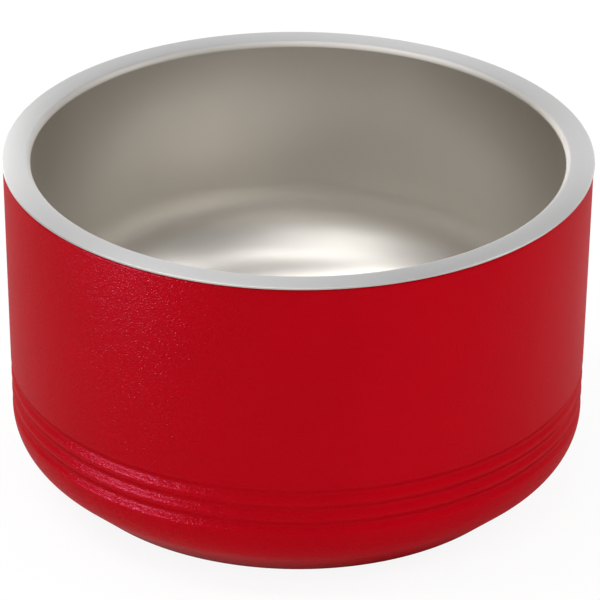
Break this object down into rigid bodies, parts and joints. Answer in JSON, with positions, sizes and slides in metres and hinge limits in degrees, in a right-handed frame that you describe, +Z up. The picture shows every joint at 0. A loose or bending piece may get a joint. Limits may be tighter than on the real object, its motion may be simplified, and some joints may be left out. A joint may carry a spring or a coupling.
{
  "type": "pet bowl",
  "caption": "Round double-wall insulated pet bowl: satin steel liner with a flat rim in a red powder-coated shell with rolled grooves and a non-slip base ring.",
  "frame": {"origin": "on the floor at the bowl's axis, in the plane of the non-slip ring's underside", "axes": "+Z up along the bowl's axis of turning, +Y away from the viewer of the picture, +X to the viewer's right"},
  "size_m": [0.1714, 0.1714, 0.0996],
  "materials": {
    "satin_steel": "satin",
    "red_coat": "fine textured powder coat",
    "plain_steel": "brushed",
    "seal_metal": "dull",
    "dark_silicone": "matt",
    "getter_metal": "pressed powder"
  },
  "bodies": {
    "root": {"inner_bowl": "satin_steel", "outer_shell": "red_coat", "base_plate": "plain_steel", "seal_bead": "seal_metal", "base_cover": "plain_steel", "nonslip_ring": "dark_silicone", "getter_cup": "plain_steel", "getter_pellet": "getter_metal"}
  },
  "joints": []
}
